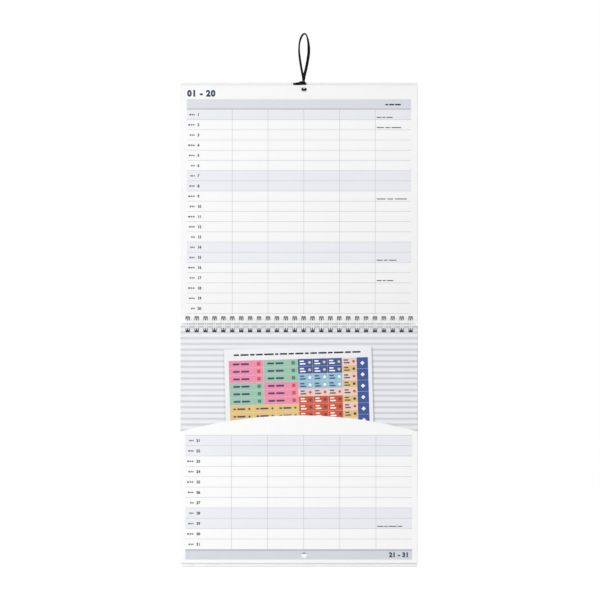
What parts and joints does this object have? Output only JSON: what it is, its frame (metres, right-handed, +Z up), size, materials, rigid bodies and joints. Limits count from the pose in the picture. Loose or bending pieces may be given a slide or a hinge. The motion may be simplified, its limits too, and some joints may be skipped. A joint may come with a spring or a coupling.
{
  "type": "wall calendar",
  "caption": "Hanging wire-bound wall calendar opened out, with ruled month pages, a curved pocket holding a sheet of stickers, and a ribbon loop.",
  "frame": {"origin": "the inner side of the ribbon loop's bend, where the nail carries the calendar", "axes": "+X to the right along the wire, +Y back to the wall, +Z up"},
  "size_m": [0.338, 0.017, 0.7604],
  "materials": {
    "cover_card": "smooth white card",
    "page_paper": "uncoated white paper",
    "coated_wire": "white coating",
    "ribbon": "flat woven ribbon, dark navy",
    "backing_paper": "smooth release paper",
    "stickers_pink": "satin label paper, pink",
    "stickers_mint": "satin label paper, mint",
    "stickers_mustard": "satin label paper, mustard",
    "stickers_navy": "satin label paper, navy",
    "stickers_sky": "satin label paper, sky",
    "stickers_blush": "satin label paper, blush",
    "stickers_orange": "satin label paper, orange"
  },
  "bodies": {
    "upper_half": {"front_cover": "cover_card", "turned_leaf": "page_paper", "month_leaf": "page_paper", "twin_loop_wire": "coated_wire", "ribbon_loop": "ribbon", "ribbon_knot": "ribbon"},
    "lower_half": {"coming_leaves": "page_paper"},
    "pocket_leaf": {"pocket_page": "page_paper", "pocket_front": "page_paper", "sticker_sheet": "backing_paper", "stickers_pink": "stickers_pink", "stickers_mint": "stickers_mint", "stickers_mustard": "stickers_mustard", "stickers_navy": "stickers_navy", "stickers_sky": "stickers_sky", "stickers_blush": "stickers_blush", "stickers_orange": "stickers_orange"},
    "back_board": {"back_cover": "cover_card"}
  },
  "joints": [
    {"name": "fold_lower_half", "type": "hinge", "parent": "upper_half", "child": "lower_half", "pos_m": [-0.0074, -0.0025, -0.4134], "axis": [-1, 0, 0], "range_deg": [0, 178]},
    {"name": "turn_pocket_leaf", "type": "hinge", "parent": "lower_half", "child": "pocket_leaf", "pos_m": [-0.0074, -0.0025, -0.4134], "axis": [-1, 0, 0], "range_deg": [0, 178]},
    {"name": "swing_back_cover", "type": "hinge", "parent": "lower_half", "child": "back_board", "pos_m": [-0.0074, -0.0025, -0.4134], "axis": [1, 0, 0], "range_deg": [0, 40]}
  ]
}
